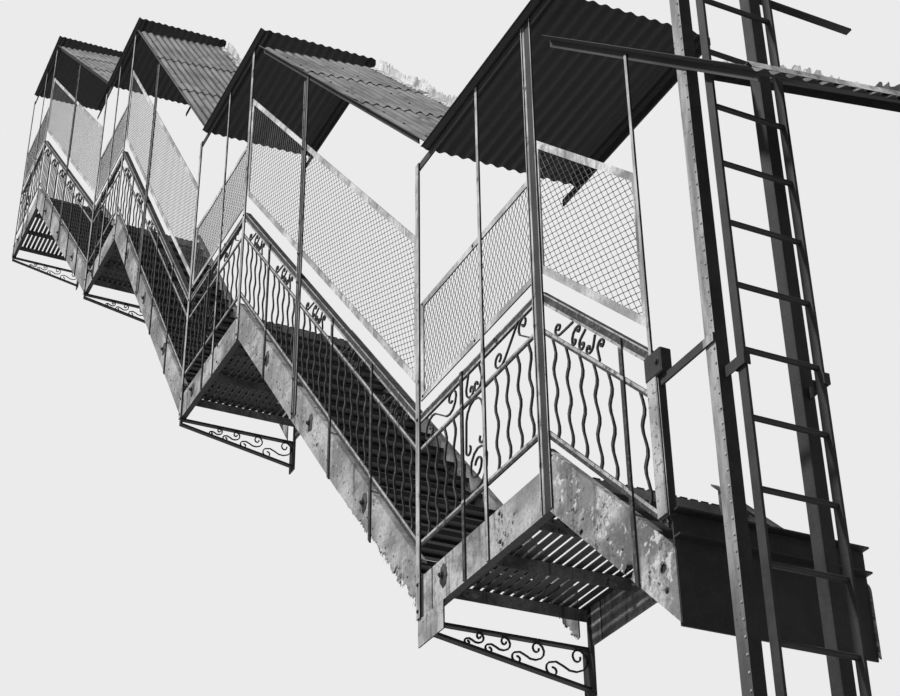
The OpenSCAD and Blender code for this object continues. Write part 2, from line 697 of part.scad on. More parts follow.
// A channel that stands behind a ladder rail, open to the back.
module guide_channel(y) {
    w = guide_post[0];
    d = guide_post[1];
    translate([ladder_x - keeper_back, y, guide_low])
        linear_extrude(guide_high - guide_low)
            polygon([
                [0, 0], [0, d], [-w, d], [-w, d - channel_t], [-channel_t, d - channel_t],
                [-channel_t, channel_t], [-w, channel_t], [-w, 0]
            ]);
}
module ladder_guides() {
    color(iron) {
        guide_channel(y_guide_out);
        guide_channel(y_guide_in);
        translate([foot_x(0) + fit, y_web, foot_z(0) + 800])
            cube([ladder_reach - keeper_back - fit, rail_t, 40]);
        for (z = [guide_low + 40, guide_high - 80])
            translate([ladder_x - keeper_back - guide_post[0], y_guide_out + guide_post[1] + fit, z])
                cube([channel_t, y_guide_in - y_guide_out - guide_post[1] - 2 * fit, 40]);
        for (z = [guide_low + 400, guide_high - 600])
            translate([ladder_x - keeper_back - 40, y_guide_in + guide_post[1] + fit, z])
                cube([40, -y_guide_in - guide_post[1] - fit, 10]);
    }
}

landing_frame(1);  // landing_1_frame
landing_deck(1);  // landing_1_deck
landing_railing(1);  // landing_1_railing
landing_mesh_frame(1);  // landing_1_mesh_frame
bracket(1);  // landing_1_bracket
landing_frame(2);  // landing_2_frame
landing_deck(2);  // landing_2_deck
landing_railing(2);  // landing_2_railing
landing_mesh_frame(2);  // landing_2_mesh_frame
bracket(2);  // landing_2_bracket
landing_frame(3);  // landing_3_frame
landing_deck(3);  // landing_3_deck
landing_railing(3);  // landing_3_railing
landing_mesh_frame(3);  // landing_3_mesh_frame
bracket(3);  // landing_3_bracket
landing_frame(4);  // landing_4_frame
landing_deck(4);  // landing_4_deck
landing_railing(4);  // landing_4_railing
landing_mesh_frame(4);  // landing_4_mesh_frame
bracket(4);  // landing_4_bracket
flight_stringers(0);  // flight_0_stringers
flight_treads(0);  // flight_0_treads
flight_railing(0);  // flight_0_railing
flight_mesh_frame(0);  // flight_0_mesh_frame
end_plate();  // flight_0_end_plate
flight_stringers(1);  // flight_1_stringers
flight_treads(1);  // flight_1_treads
flight_railing(1);  // flight_1_railing
flight_mesh_frame(1);  // flight_1_mesh_frame
flight_stringers(2);  // flight_2_stringers
flight_treads(2);  // flight_2_treads
flight_railing(2);  // flight_2_railing
flight_mesh_frame(2);  // flight_2_mesh_frame
flight_stringers(3);  // flight_3_stringers
flight_treads(3);  // flight_3_treads
flight_railing(3);  // flight_3_railing
flight_mesh_frame(3);  // flight_3_mesh_frame
roof(0);  // roof_0
roof(1);  // roof_1
roof(2);  // roof_2
roof(3);  // roof_3
roof(4);  // roof_4
posts();
ladder_guides();
ladder_keepers();
drop_ladder();
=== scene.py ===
"""Finishes, guard mesh, roof laps, flashing and fastenings of the fire escape stair."""
import math
import random

import bpy
import numpy as np
from mathutils import Matrix, Vector


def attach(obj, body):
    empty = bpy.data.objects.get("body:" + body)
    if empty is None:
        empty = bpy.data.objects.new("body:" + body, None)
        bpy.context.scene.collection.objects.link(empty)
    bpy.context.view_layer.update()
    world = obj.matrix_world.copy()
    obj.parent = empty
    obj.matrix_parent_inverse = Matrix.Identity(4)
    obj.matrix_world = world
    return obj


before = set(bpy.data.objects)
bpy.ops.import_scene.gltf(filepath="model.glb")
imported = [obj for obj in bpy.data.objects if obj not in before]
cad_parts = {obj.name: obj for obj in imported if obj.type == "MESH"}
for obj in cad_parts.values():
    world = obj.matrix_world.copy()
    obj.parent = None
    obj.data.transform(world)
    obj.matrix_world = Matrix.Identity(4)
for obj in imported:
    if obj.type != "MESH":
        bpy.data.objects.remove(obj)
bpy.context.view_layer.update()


def rounded(value):
    """A length to a tenth of a millimetre."""
    return round(float(value), 4)


def node_box(name):
    """Lowest and highest corner of one of the part's nodes."""
    corners = np.array(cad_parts[name].bound_box)
    return [[rounded(value) for value in corner] for corner in (corners.min(0), corners.max(0))]


# Sizes in metres, as the part has them. X runs down the stair, Y to its back and Z up.
# Landings count from 1 at the bottom. Flight j leads up from landing j, and flight 0 down from landing 1.
LANDINGS, FLIGHTS = range(1, 5), range(4)
SHORT_RUN, SHORT_RISE = 0.950, 0.885
STEPS = [5, 18, 18, 18]
OUTER_FACE, RAIL_FACE, BACK_FACE = -1.015, -1.005, -0.995
OUT = (0, -1, 0)
POST_HALF, MID_HALF = 0.0228, 0.040
FASCIA, STRINGER_LOW = 0.228, 0.219
HANDRAIL, FRIEZE_RAIL, BOTTOM_RAIL, HANDRAIL_DEPTH = 0.960, 0.762, 0.208, 0.042
PANEL, MID_SHARE = 0.642, 0.55
ORNAMENT_POST = 0.452
# Webs of the channel posts at the head of flight 0 and in mid flight, along X from their middle, which are
# painted dark as shade.
HEAD_WEB, MID_WEB = (-0.024, 0.043), (-0.025, 0.023)
GUIDE_X, GUIDE_W, GUIDE_SPAN = 2.755, 0.070, (-1.560, 2.870)

# Heights of the light flats on the rails' outer faces.
HANDRAIL_FLAT, FRIEZE_FLAT, BOTTOM_FLAT = 0.013, 0.013, 0.014
# How far out the light paint of guides and apron begins, and the heights over which the guides' light paint
# fades into a painted shadow below.
GUIDE_OUT, APRON_OUT, GUIDE_SHADOW_FADE = (0.93, 0.95), (0.980, 0.995), (-1.1, -0.2)

# Guard frames, from their lower to their upper edge over the deck or the walking line.
GUARD = {"landing": (1.050, 1.690), "short": (1.085, 1.910), "flight": (1.150, 2.155)}
GUARD_BAR, GUARD_T = 0.038, 0.008

# Roofs. The heights are those of the level roofs over their decks.
ROOF_H = [2.700, 2.665, 2.685, 2.715]
ROOF_LAP, ROOF_OVER, ROOF_STEP, SHEET_LAP = 0.190, 0.280, 0.176, 0.040
LEVEL_FALL, SLOPE_FALL = 0.050, 0.150
SHORT_ROOF_STEP, SHORT_ROOF_SLOPE, SHORT_ROOF_RUN = 0.100, 0.909, 1.860
EAVE, PITCH, WAVE, SHEET_T, FIT = -1.060, 0.078, 0.018, 0.003, 0.0003
CRESTS = [-(i + 0.5) * PITCH for i in range(int(-EAVE / PITCH))]


def left_end(k):
    return node_box(f"landing_{k}_frame")[0][0]


def right_end(k):
    return node_box(f"landing_{k}_frame")[1][0]


def landing_length(k):
    return rounded(right_end(k) - left_end(k))


def deck(k):
    return node_box(f"landing_{k}_frame")[1][2]


def foot(j):
    """Foot of a flight on its walking line: x, z."""
    return (right_end(1) + SHORT_RUN, deck(1) - SHORT_RISE) if j == 0 else (left_end(j), deck(j))


def run(j):
    return SHORT_RUN if j == 0 else rounded(left_end(j) - right_end(j + 1))


def slope(j):
    return SHORT_RISE / SHORT_RUN if j == 0 else (deck(j + 1) - deck(j)) / run(j)


def mid_post(j):
    """Place along X of the channel post in a long flight, between two panels of its railing."""
    panels = round(run(j) / PANEL)
    return left_end(j) - run(j) * round(panels * MID_SHARE) / panels


# Finishes

class Value:
    """A socket that sums, differences and products can be written on."""

    def __init__(self, nodes, socket):
        self.nodes, self.socket = nodes, socket

    def _math(self, operation, *numbers):
        return self.nodes.node("Math", {"operation": operation}, dict(enumerate(numbers)))

    def __add__(self, other):
        return self._math("ADD", self, other)

    def __mul__(self, other):
        return self._math("MULTIPLY", self, other)

    __radd__, __rmul__ = __add__, __mul__

    def __sub__(self, other):
        return self._math("SUBTRACT", self, other)

    def __rsub__(self, other):
        return self._math("SUBTRACT", other, self)

    def either(self, other):
        return self._math("MAXIMUM", self, other)

    def size(self):
        return self._math("ABSOLUTE", self)


class Nodes:
    """A tree of nodes, which all come from one method."""

    def __init__(self, tree):
        self.tree = tree

    def node(self, kind, settings, sockets, out=0):
        made = self.tree.nodes.new("ShaderNode" + kind)
        for key, value in settings.items():
            setattr(made, key, value)
        for key, value in sockets.items():
            self.plug(made.inputs[key], value)
        return Value(self, made.outputs[out])

    def plug(self, socket, value):
        if isinstance(value, Value):
            self.tree.links.new(value.socket, socket)
        else:
            socket.default_value = value

    def seen_by(self, first, second):
        """1 for two kinds of ray."""
        rays = [self.node("LightPath", {}, {}, f"Is {kind} Ray") for kind in (first, second)]
        return rays[0].either(rays[1])


class Finish(Nodes):
    """One material and the nodes that paint it."""

    def __init__(self, name):
        self.material = bpy.data.materials.new(name)
        self.material.use_nodes = True
        super().__init__(self.material.node_tree)
        self.shader = self.tree.nodes["Principled BSDF"]
        self.place = self.node("TexCoord", {}, {}, "Object")
        self.normal = self.node("NewGeometry", {}, {}, "Normal")

    def axis(self, index):
        return self.node("SeparateXYZ", {}, {0: self.place}, index)

    def facing(self, index):
        """A component of the surface normal."""
        return self.node("SeparateXYZ", {}, {0: self.normal}, index)

    def noise(self, scale, detail=4.0, rough=0.55, stretch=(1, 1, 1), shift=0.0):
        """Noise from about 0.25 to 0.75, with its features 1/scale m apart."""
        moved = {0: self.place, 1: stretch, 2: (shift, shift, shift)}
        place = self.node("VectorMath", {"operation": "MULTIPLY_ADD"}, moved)
        grain = {"Vector": place, "Scale": scale, "Detail": detail, "Roughness": rough}
        return self.node("TexNoise", {}, grain, "Fac")

    def step(self, value, low, high):
        """0 at low and beyond it, 1 at high and beyond it, smooth between."""
        ends = {"Value": value, "From Min": low, "From Max": high}
        return self.node("MapRange", {"interpolation_type": "SMOOTHSTEP"}, ends)

    def band(self, value, low, high, soft=0.001):
        """1 between low and high."""
        return self.step((value - (low + high) / 2).size(), (high - low) / 2 + soft, (high - low) / 2)

    def mix(self, share, first, second):
        return self.node("Mix", {"data_type": "RGBA"}, {0: share, 6: first, 7: second}, 2)

    def outward(self):
        """1 on faces that look to the stair's outer side."""
        return self.step(0 - self.facing(1), 0.5, 0.8)

    def upright_over(self, line):
        """Height over a walking line, which starts at x, z and rises to the left."""
        x, z, rise = line
        return self.axis(2) - z + (self.axis(0) - x) * rise

    def bump(self, height, strength, depth):
        return self.node("Bump", {}, {"Height": height, "Strength": strength, "Distance": depth})

    def paint(self, colour, rough, normal, metal=0.0):
        """Ends the finish. Every underside is painted near black as shade."""
        # Painted shade: faces that look down are darkened to near black.
        underside_shade = self.step(0 - self.facing(2), 0.35, 0.8) * 0.88
        colour = self.mix(underside_shade, colour, grey(0.006))
        ends = {"Base Color": colour, "Roughness": rough, "Metallic": metal, "Normal": normal}
        for key, value in ends.items():
            self.plug(self.shader.inputs[key], value)
        return self.material


def grey(value):
    return (value, value * 0.995, value * 0.985, 1)


def chalky_tone(f, fine, tone, wear, rust):
    """Colour of old light paint with runs, chips, stains and specks, and where it is chipped."""
    cloud = f.noise(2.6, 6, 0.6)
    base = f.mix(f.step(cloud, 0.38, 0.62), grey(tone * 0.50), grey(tone * 1.25))
    base = f.mix(f.step(fine, 0.42, 0.66) * 0.55, base, grey(tone * 0.40))
    runs = f.step(f.noise(1, 5, 0.6, (26, 26, 1.6), 3.0), 0.50, 0.66)
    runs = runs * f.step(f.noise(3.1, 3, 0.5, shift=7.0), 0.40, 0.60)
    base = f.mix(runs * 0.7, base, grey(0.060))
    chips = f.step(f.noise(38, 9, 0.72, shift=5.0), 0.550, 0.575)
    chips = chips * f.step(f.noise(4.5, 4, 0.6, shift=11.0), 0.50 - wear, 0.62 - wear)
    base = f.mix(chips, base, f.mix(f.step(fine, 0.4, 0.6), grey(0.014), grey(0.045)))
    blooms = f.step(f.noise(3.4, 7, 0.68, (1, 1, 1.3), 17.0), 0.53 - 0.10 * rust, 0.66 - 0.14 * rust)
    base = f.mix(blooms * 0.72, base, grey(tone * 0.22))
    clean = f.step(f.noise(15, 8, 0.7, shift=21.0), 0.60 - 0.05 * rust, 0.63 - 0.05 * rust)
    clean = clean * f.step(f.noise(2.2, 3, shift=23.0), 0.48 - 0.10 * rust, 0.60 - 0.10 * rust)
    base = f.mix(clean * 0.8, base, grey(min(0.72, tone * 1.7)))
    specks = f.step(f.noise(150, 4, 0.6), 0.60, 0.66)
    return f.mix(specks * 0.6, base, grey(0.05)), chips


def eaten_edge(f, base, line, low, reach):
    """Rusts the lower edge of a plate away in notches, from the start of its walking line up to a reach."""
    along = f.step(f.axis(0), line[0] - reach, line[0] - reach * 0.25)
    bite = (f.noise(13, 7, 0.7, shift=31.0) - 0.40).either(0) * along * 0.42
    left = f.upright_over(line) + low - bite
    return f.mix(f.step(left, 0.030, 0.004) * 0.8 * along, base, grey(0.030)), f.step(left, 0.0, 0.002)


def rusted_hole(f, base, x, z, radius):
    """Rusts a ragged hole through a plate."""
    gap = f.node("VectorMath", {"operation": "DISTANCE"}, {0: f.place, 1: (x, RAIL_FACE, z)}, "Value")
    ragged = gap + (f.noise(60, 5, 0.7, shift=41.0) - 0.5) * radius * 1.3
    rim = f.step(ragged, radius * 1.7, radius * 0.9)
    return f.mix(rim * 0.8, base, grey(0.02)), f.step(ragged, radius * 0.92, radius)


def weathered_paint(name, tone, wear=0.0, rust=0.0, shaded_seams=(), eaten=None, holes=()):
    """Light grey paint gone chalky, with runs of dirt down it, chips to the iron and rust stains, and
    painted shade on the faces that look in.
    Shaded seams are places along X of upright gaps between plates, painted near black as the shade inside
    them. Eaten is a walking line, how far the plate's lower edge is under it, and how far its notches reach.
    Holes are given by x, z and radius."""
    f = Finish(name)
    fine = f.noise(46, 8, 0.7)
    base, chips = chalky_tone(f, fine, tone, wear, rust)
    # Painted shade: faces that look in towards the back are darkened.
    inner_shade = f.step(f.facing(1), 0.5, 0.8) * 0.75
    base = f.mix(inner_shade, base, grey(0.030))
    # Painted shade: upright gaps between plates are painted near black.
    for start, end in shaded_seams:
        base = f.mix(f.band(f.axis(0), start, end), base, grey(0.010))
    solid = 1.0
    if eaten:
        base, solid = eaten_edge(f, base, *eaten)
    for hole in holes:
        base, around = rusted_hole(f, base, *hole)
        solid = solid * around
    f.plug(f.shader.inputs["Alpha"], solid)
    height = (1 - chips) * 0.6 + fine * 0.35 + f.noise(9, 5) * 0.3
    return f.paint(base, 0.62 + 0.25 * fine, f.bump(height, 0.55, 0.004))


def iron_tone(f, tone):
    """The dull near-black of old iron paint with dust on what looks up, and its coarse and fine noise."""
    cloud = f.noise(5, 6, 0.62)
    fine = f.noise(70, 8, 0.7)
    base = f.mix(f.step(cloud, 0.38, 0.62), grey(tone * 0.6), grey(tone * 1.7))
    base = f.mix(f.step(fine, 0.52, 0.68) * 0.5, base, grey(tone * 3.2))
    settled = f.step(f.facing(2), 0.35, 0.95) * f.step(f.noise(16, 5, 0.6, shift=2.0), 0.34, 0.6)
    return f.mix(settled * 0.75, base, grey(0.13)), cloud, fine


def iron_paint(f, colour, fine, height, rough=0.50):
    return f.paint(colour, rough + 0.28 * fine, f.bump(height, 0.5, 0.003))


def dark_iron(name, tone=0.016):
    f = Finish(name)
    base, cloud, fine = iron_tone(f, tone)
    return iron_paint(f, base, fine, fine * 0.5 + cloud * 0.5)


def railing_iron(name, line):
    """Iron railing over a walking line, whose rails carry worn light paint on their outer faces; kept to the
    outer faces, the lit side, it is partly painted light.
    """
    f = Finish(name)
    base, cloud, fine = iron_tone(f, 0.016)
    up = math.hypot(1, line[2])
    height = f.upright_over(line)
    light = f.step(height, HANDRAIL + 0.001, HANDRAIL + 0.002)
    handrail_foot = HANDRAIL - HANDRAIL_DEPTH * up
    for top, flat in ((handrail_foot + HANDRAIL_FLAT * up, HANDRAIL_FLAT), (FRIEZE_RAIL, FRIEZE_FLAT),
                      (BOTTOM_RAIL, BOTTOM_FLAT)):
        light = light.either(f.band(height, top - flat * up, top))
    sound = f.step(f.noise(24, 7, 0.7, shift=4.0), 0.62, 0.50)
    worn = f.mix(f.step(cloud, 0.35, 0.65), grey(0.30), grey(0.58))
    # Partly painted light: the rails' light paint goes only on their outer faces, the lit side.
    base = f.mix(light * f.outward() * (0.2 + 0.75 * sound), base, worn)
    # Painted highlight with wear: the other bars' outer faces are lightened in patches as the lit side.
    wear_and_lit_front = f.outward() * f.step(f.noise(30, 6, 0.7, shift=6.0), 0.50, 0.60) * (1 - light)
    base = f.mix(wear_and_lit_front * 0.45, base, grey(0.16))
    return iron_paint(f, base, fine, fine * 0.5 + cloud * 0.5)


def post_iron(name):
    """Posts: faces that look out carry light worn paint, partly a painted highlight of the lit side; the
    rest is near black, and the channels' webs are painted dark as shade.
    """
    f = Finish(name)
    base, cloud, fine = iron_tone(f, 0.014)
    runs = f.step(f.noise(1, 5, 0.6, (40, 40, 2.2)), 0.46, 0.62)
    light = f.mix(f.step(cloud, 0.36, 0.62), grey(0.34), grey(0.62))
    light = f.mix(runs * 0.6, light, grey(0.10))
    # Partly painted light: only faces that look out, the lit side, take the light paint.
    share = f.outward() * f.step(f.noise(9, 6, 0.7, shift=6.0), 0.66, 0.54)
    # Painted shade: the channels' webs stay dark, and on the head post this dark band covers most of the
    # outer face.
    web_shade = f.band(f.axis(0), right_end(1) + HEAD_WEB[0], right_end(1) + HEAD_WEB[1])
    for j in FLIGHTS[1:]:
        web_shade = web_shade.either(f.band(f.axis(0), mid_post(j) + MID_WEB[0], mid_post(j) + MID_WEB[1]))
    return iron_paint(f, f.mix(share * (1 - web_shade), base, light), fine, fine)


def guide_iron(name):
    """The ladder's guides: the outer one has light paint on its outer face, partly a painted highlight of
    the lit side, which fades downwards into a painted shadow.
    """
    f = Finish(name)
    base, _, fine = iron_tone(f, 0.014)
    light = f.mix(f.step(f.noise(2.0, 5, 0.6, (6, 6, 1)), 0.38, 0.62), grey(0.20), grey(0.46))
    light = f.mix(f.step(f.noise(34, 8, 0.72, shift=8.0), 0.58, 0.64) * 0.8, light, grey(0.05))
    # Painted shadow: the guide's light paint fades out towards its foot.
    out_of_shadow = f.step(f.axis(2), *GUIDE_SHADOW_FADE)
    post = f.band(f.axis(0), GUIDE_X - GUIDE_W - 0.002, GUIDE_X + 0.002) * f.step(0 - f.axis(1), *GUIDE_OUT)
    # Partly painted light: only the outer face, the lit side, takes the light paint.
    share = post * f.outward() * (0.25 + 0.75 * out_of_shadow)
    return iron_paint(f, f.mix(share, base, light), fine, fine)


def apron_iron(name):
    """The lowest bracket: its apron plate under the fascia carries the fascia's light paint."""
    f = Finish(name)
    base, cloud, fine = iron_tone(f, 0.016)
    light = f.mix(f.step(cloud, 0.36, 0.62), grey(0.24), grey(0.52))
    light = f.mix(f.step(f.noise(1, 5, 0.6, (26, 26, 1.6), 3.0), 0.50, 0.64) * 0.7, light, grey(0.07))
    light = f.mix(f.step(f.noise(34, 8, 0.72, shift=8.0), 0.57, 0.62) * 0.8, light, grey(0.04))
    plate = f.outward() * f.step(0 - f.axis(1), *APRON_OUT)
    return iron_paint(f, f.mix(plate, base, light), fine, fine * 0.5 + cloud * 0.5, 0.55)


def newel_iron(name, low, high):
    """The newel: light worn paint on its shaft's outer face, partly a painted highlight of the lit side,
    which ends from low to high; a black head.
    """
    f = Finish(name)
    base, cloud, fine = iron_tone(f, 0.014)
    light = f.mix(f.step(cloud, 0.36, 0.62), grey(0.30), grey(0.55))
    light = f.mix(f.step(f.noise(40, 8, 0.72), 0.54, 0.58) * 0.8, light, grey(0.04))
    shaft = f.step(f.axis(2), high, low)
    # Partly painted light: only the shaft's outer face, the lit side, takes the light paint.
    return iron_paint(f, f.mix(f.outward() * shaft, base, light), fine, fine)


def roof_sheet(name):
    """Dull galvanised sheet: streaks down the slope, rust blooms, specks of dirt, and an underside painted
    near black as shade.
    """
    f = Finish(name)
    cloud = f.noise(1.6, 6, 0.6)
    streak = f.noise(1, 6, 0.62, (1.3, 34, 1.3), 9.0)
    fine = f.noise(55, 8, 0.7)
    top = f.mix(f.step(cloud, 0.36, 0.66), grey(0.12), grey(0.24))
    top = f.mix(f.step(streak, 0.46, 0.66) * 0.6, top, grey(0.33))
    blooms = f.step(f.noise(5.5, 8, 0.68, (1, 2.2, 1), 13.0), 0.56, 0.66)
    top = f.mix(blooms * 0.7, top, grey(0.055))
    top = f.mix(f.step(fine, 0.55, 0.7) * 0.5, top, grey(0.07))
    # Painted shade: the sheet's underside is coloured near black, chosen by which way the surface faces.
    below = f.mix(f.step(cloud, 0.4, 0.6), grey(0.005), grey(0.012))
    base = f.mix(f.step(f.facing(2), -0.05, 0.15), below, top)
    return f.paint(base, 0.48 + 0.3 * fine, f.bump(fine * 0.6 + streak * 0.4, 0.35, 0.003), 0.2)


# Mesh helpers

def new_mesh(name, points, faces):
    mesh = bpy.data.meshes.new(name)
    mesh.from_pydata([tuple(p) for p in points], [], [tuple(f) for f in faces])
    mesh.update()
    made = bpy.data.objects.new(name, mesh)
    bpy.context.scene.collection.objects.link(made)
    return made


def dressed(made, finish):
    made.data.materials.append(finish)
    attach(made, "stair")


def sheet_of(name, top, below):
    """A closed sheet between two grids of points, rows by columns."""
    rows, columns = len(top), len(top[0])
    points = [p for grid in (top, below) for row in grid for p in row]

    def at(side, i, j):
        return side * rows * columns + i * columns + j

    faces = []
    for i in range(rows - 1):
        for j in range(columns - 1):
            faces.append((at(0, i, j), at(0, i, j + 1), at(0, i + 1, j + 1), at(0, i + 1, j)))
            faces.append((at(1, i, j), at(1, i + 1, j), at(1, i + 1, j + 1), at(1, i, j + 1)))
    rim = [(0, j) for j in range(columns)] + [(i, columns - 1) for i in range(1, rows)]
    rim += [(rows - 1, j) for j in range(columns - 2, -1, -1)] + [(i, 0) for i in range(rows - 2, 0, -1)]
    for a, b in zip(rim, rim[1:] + rim[:1]):
        faces.append((at(0, *b), at(0, *a), at(1, *a), at(1, *b)))
    return new_mesh(name, points, faces)


draw = random.Random(7)


class Solids:
    """Small turned and boxed solids gathered into one mesh."""

    def __init__(self):
        self.points, self.faces = [], []

    def loft(self, first, sides, levels):
        """Faces between rings of points, and the two flat ends."""
        last = first + (levels - 1) * sides
        for base in range(first, last, sides):
            for i in range(sides):
                after = (i + 1) % sides
                self.faces.append((base + i, base + after, base + sides + after, base + sides + i))
        self.faces.append(tuple(range(last, last + sides)))
        self.faces.append(tuple(reversed(range(first, first + sides))))

    def turned(self, centre, direction, profile, sides, ragged=0.0, tall=1.0):
        """A solid with a profile of heights and radii along a direction. Ragged is how uneven its rim is,
        and tall how much it is stretched upright."""
        axis = Vector(direction).normalized()
        across = axis.orthogonal().normalized()
        other = axis.cross(across)
        first = len(self.points)
        jitter = [1 + draw.uniform(-ragged, ragged) if ragged else 1 for _ in range(sides)]
        for height, radius in profile:
            for i in range(sides):
                angle = 2 * math.pi * i / sides
                spoke = (across * math.cos(angle) + other * math.sin(angle)) * radius * jitter[i]
                spoke.z *= tall
                self.points.append(Vector(centre) + axis * height + spoke)
        self.loft(first, sides, len(profile))

    def bolt(self, centre, direction, size):
        """A washer and a hexagon head with a worn rim. Size is the washer's radius."""
        head = size * 0.62
        self.turned(centre, direction, [(0, size), (size * 0.14, size), (size * 0.18, size * 0.94)], 14)
        start = Vector(centre) + Vector(direction).normalized() * size * 0.17
        self.turned(start, direction, [(0, head), (size * 0.34, head), (size * 0.42, head * 0.86)], 6)

    def rivet(self, centre, direction, radius):
        profile = [(0, radius), (radius * 0.35, radius * 0.92), (radius * 0.62, radius * 0.55)]
        self.turned(centre, direction, profile, 8)

    def box(self, low, high, bevel):
        """A box whose edges are cut off by a bevel."""
        (x0, y0, z0), (x1, y1, z1) = low, high
        ring = [(x0 + bevel, y0), (x1 - bevel, y0), (x1, y0 + bevel), (x1, y1 - bevel),
                (x1 - bevel, y1), (x0 + bevel, y1), (x0, y1 - bevel), (x0, y0 + bevel)]
        levels = [(z0, bevel), (z0 + bevel, 0.0), (z1 - bevel, 0.0), (z1, bevel)]
        mid_x, mid_y = (x0 + x1) / 2, (y0 + y1) / 2
        first = len(self.points)
        for z, inset in levels:
            for x, y in ring:
                in_x, in_y = math.copysign(inset, mid_x - x), math.copysign(inset, mid_y - y)
                self.points.append(Vector((x + in_x, y + in_y, z)))
        self.loft(first, len(ring), len(levels))

    def make(self, name, finish, slot):
        dressed(new_mesh(name, self.points, self.faces), finish)


# Guard mesh

SHORT_PITCH, LONG_PITCH = 0.0374, 0.0790
STRAND_W, STRAND_T, STRAND_TILT = 0.0030, 0.0024, 0.6
KNUCKLE_L, KNUCKLE_W, KNUCKLE_T, KNUCKLE_TILT = 0.0105, 0.0056, 0.0028, 0.25
LANDING_MESH_TURN, FLIGHT_MESH_SHARE = math.radians(87.5), 0.97
# The least share of a strand that is kept, and what counts as running along an edge of the outline.
SCRAP, LEVEL = 0.02, 1e-12


def clip(a, b, corners):
    """Keeps the part of each line a-b inside a convex outline that is given anticlockwise."""
    t0, t1 = np.zeros(len(a)), np.ones(len(a))
    d = b - a
    for p, q in zip(corners, np.roll(corners, -1, 0)):
        inward = np.array([-(q - p)[1], (q - p)[0]])
        here, gain = (a - p) @ inward, d @ inward
        level = np.abs(gain) < LEVEL
        cross = -here / np.where(level, LEVEL, gain)
        t0 = np.where(gain > 0, np.maximum(t0, cross), t0)
        t1 = np.where(gain < 0, np.minimum(t1, cross), t1)
        t1 = np.where(level & (here < 0), -1, t1)
    keep = t1 - t0 > SCRAP
    return a[keep] + d[keep] * t0[keep, None], a[keep] + d[keep] * t1[keep, None]


def bars(a, b, y, width, depth, tilt, ends):
    """Flat bars from a to b in the plane y, turned by tilt round their own length."""
    along = b - a
    along /= np.linalg.norm(along, axis=1)[:, None]
    side = np.stack([-along[:, 1], along[:, 0]], 1)
    c, s = math.cos(tilt), math.sin(tilt)
    points = np.zeros((len(a), 8, 3))
    for i, (u, v) in enumerate(((-1, -1), (1, -1), (1, 1), (-1, 1))):
        across, out = (u * c * width - v * s * depth) / 2, (u * s * width + v * c * depth) / 2
        for j, end in enumerate((a, b)):
            points[:, i + 4 * j, 0] = end[:, 0] + side[:, 0] * across
            points[:, i + 4 * j, 1] = y + out
            points[:, i + 4 * j, 2] = end[:, 1] + side[:, 1] * across
    faces = [(0, 1, 5, 4), (1, 2, 6, 5), (2, 3, 7, 6), (3, 0, 4, 7)]
    if ends:
        faces += [(3, 2, 1, 0), (4, 5, 6, 7)]
    first = np.arange(len(a))[:, None, None] * 8
    return points.reshape(-1, 3), (np.array(faces)[None] + first).reshape(-1, 4)


def expanded_sheet(name, corners, y, angle):
    """A sheet of expanded metal inside an outline in X and Z; its long way runs at an angle to X."""
    corners = np.array(corners, float)
    centre, reach = corners.mean(0), np.ptp(corners, axis=0).max()
    long_way = np.array([math.cos(angle), math.sin(angle)])
    short_way = np.array([long_way[1], -long_way[0]])
    across, along = int(reach / SHORT_PITCH) + 2, int(reach / LONG_PITCH) + 2
    i, j = np.meshgrid(np.arange(-across, across), np.arange(-along, along))
    knots = np.concatenate([np.stack([(i + h).ravel(), (j + h).ravel()], 1) for h in (0.0, 0.5)])
    knots = knots * (SHORT_PITCH, LONG_PITCH)
    knots = knots[:, :1] * short_way + knots[:, 1:] * long_way + centre
    made = []
    for side in (1, -1):
        far = knots + short_way * side * SHORT_PITCH / 2 + long_way * LONG_PITCH / 2
        made.append(bars(*clip(knots, far, corners), y, STRAND_W, STRAND_T, side * STRAND_TILT, False))
    half = long_way * KNUCKLE_L / 2
    knuckles = clip(knots - half, knots + half, corners)
    made.append(bars(*knuckles, y, KNUCKLE_W, KNUCKLE_T, KNUCKLE_TILT, True))
    points, faces, count = [], [], 0
    for part_points, part_faces in made:
        points.append(part_points)
        faces.append(part_faces + count)
        count += len(part_points)
    return new_mesh(name, np.concatenate(points), np.concatenate(faces))


def guard_outline(x, z, length, span, rise):
    """The opening of a guard frame, up to the middle of its bars."""
    half = GUARD_BAR / 2
    up = half * math.hypot(1, rise)
    x0, x1 = x - POST_HALF - half, x - length + POST_HALF + half
    low, high = span[0] + up, span[1] - up
    return [(x0, z + rise * (x - x0) + low), (x0, z + rise * (x - x0) + high),
            (x1, z + rise * (x - x1) + high), (x1, z + rise * (x - x1) + low)]


mesh_finish = weathered_paint("guard_mesh_paint", 0.20)


def guard_mesh(name, outline, angle):
    y = RAIL_FACE + GUARD_T + STRAND_T / 2
    dressed(expanded_sheet(name, outline, y, angle), mesh_finish)


for k in LANDINGS:
    outline = guard_outline(right_end(k), deck(k), landing_length(k), GUARD["landing"], 0)
    guard_mesh(f"landing_{k}_guard_mesh", outline, LANDING_MESH_TURN)
for j in FLIGHTS:
    outline = guard_outline(*foot(j), run(j), GUARD["flight" if j else "short"], slope(j))
    guard_mesh(f"flight_{j}_guard_mesh", outline, math.pi - math.atan(slope(j)) * FLIGHT_MESH_SHARE)


# Roof laps, flashing and screws

